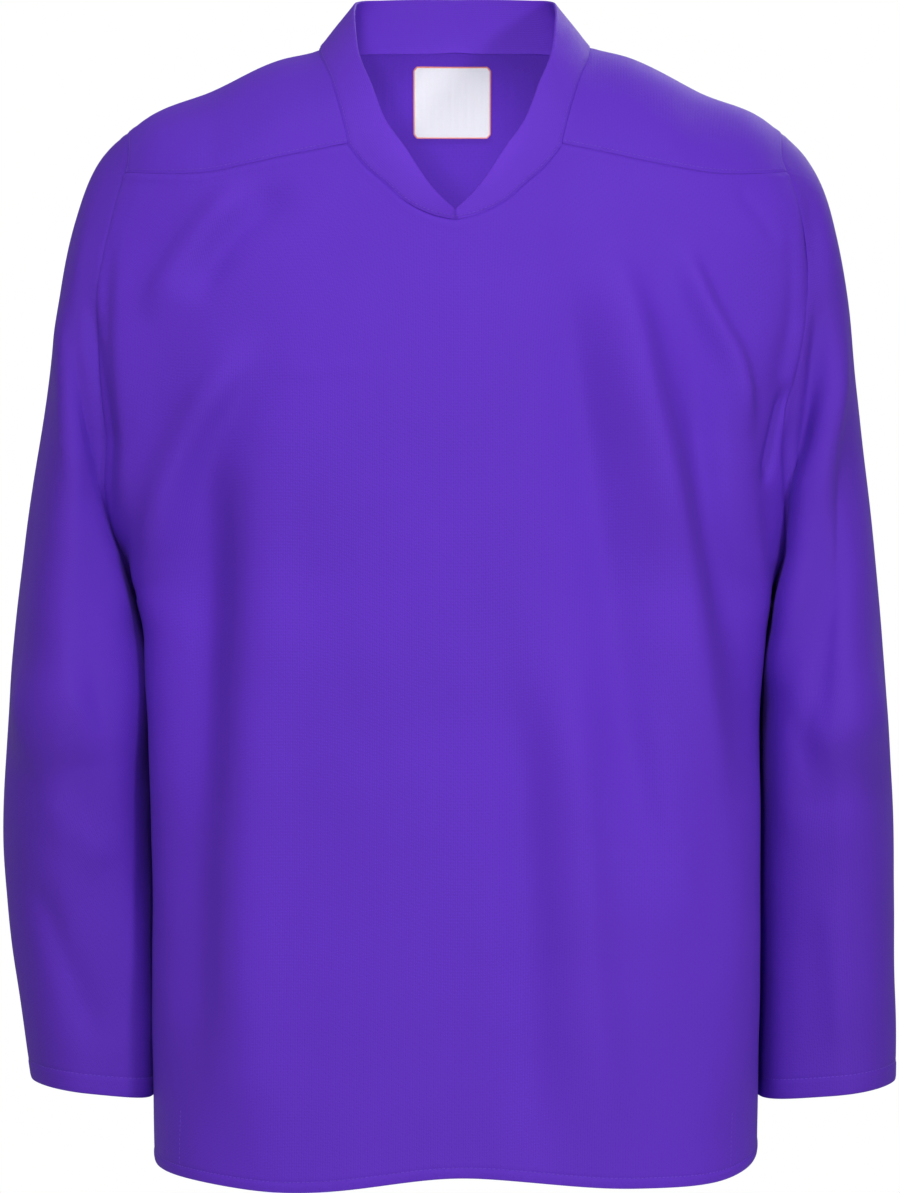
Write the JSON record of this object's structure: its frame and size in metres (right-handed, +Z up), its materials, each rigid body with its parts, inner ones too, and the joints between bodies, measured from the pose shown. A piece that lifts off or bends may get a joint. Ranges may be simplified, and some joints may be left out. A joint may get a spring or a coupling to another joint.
{
  "type": "ice hockey jersey",
  "caption": "Loose long-sleeved ice hockey jersey with a V-neck band and a shoulder yoke, in plain purple knit, hollow and open at the neck, hem and cuffs as it is when worn.",
  "frame": {"origin": "on the jersey's centre plane, at the height of the shoulders beside the neck, in line with the shoulder ridge", "axes": "+Z up along the wearer, +X to the wearer's left (the picture's right), -Y out of the chest; the cloth hangs below the origin"},
  "size_m": [0.6119, 0.2878, 0.7953],
  "materials": {
    "front": "fine matt polyester knit with a faint sheen",
    "back": "fine matt polyester knit with a faint sheen",
    "yoke": "fine matt polyester knit with a faint sheen",
    "sleeve_right": "fine matt polyester knit with a faint sheen",
    "sleeve_left": "fine matt polyester knit with a faint sheen",
    "collar": "doubled rib-like knit band, matt",
    "neck_label": "woven satin label, soft sheen"
  },
  "bodies": {
    "root": {"front": "front", "back": "back", "yoke": "yoke", "sleeve_right": "sleeve_right", "sleeve_left": "sleeve_left", "collar": "collar", "neck_label": "neck_label"}
  },
  "joints": []
}
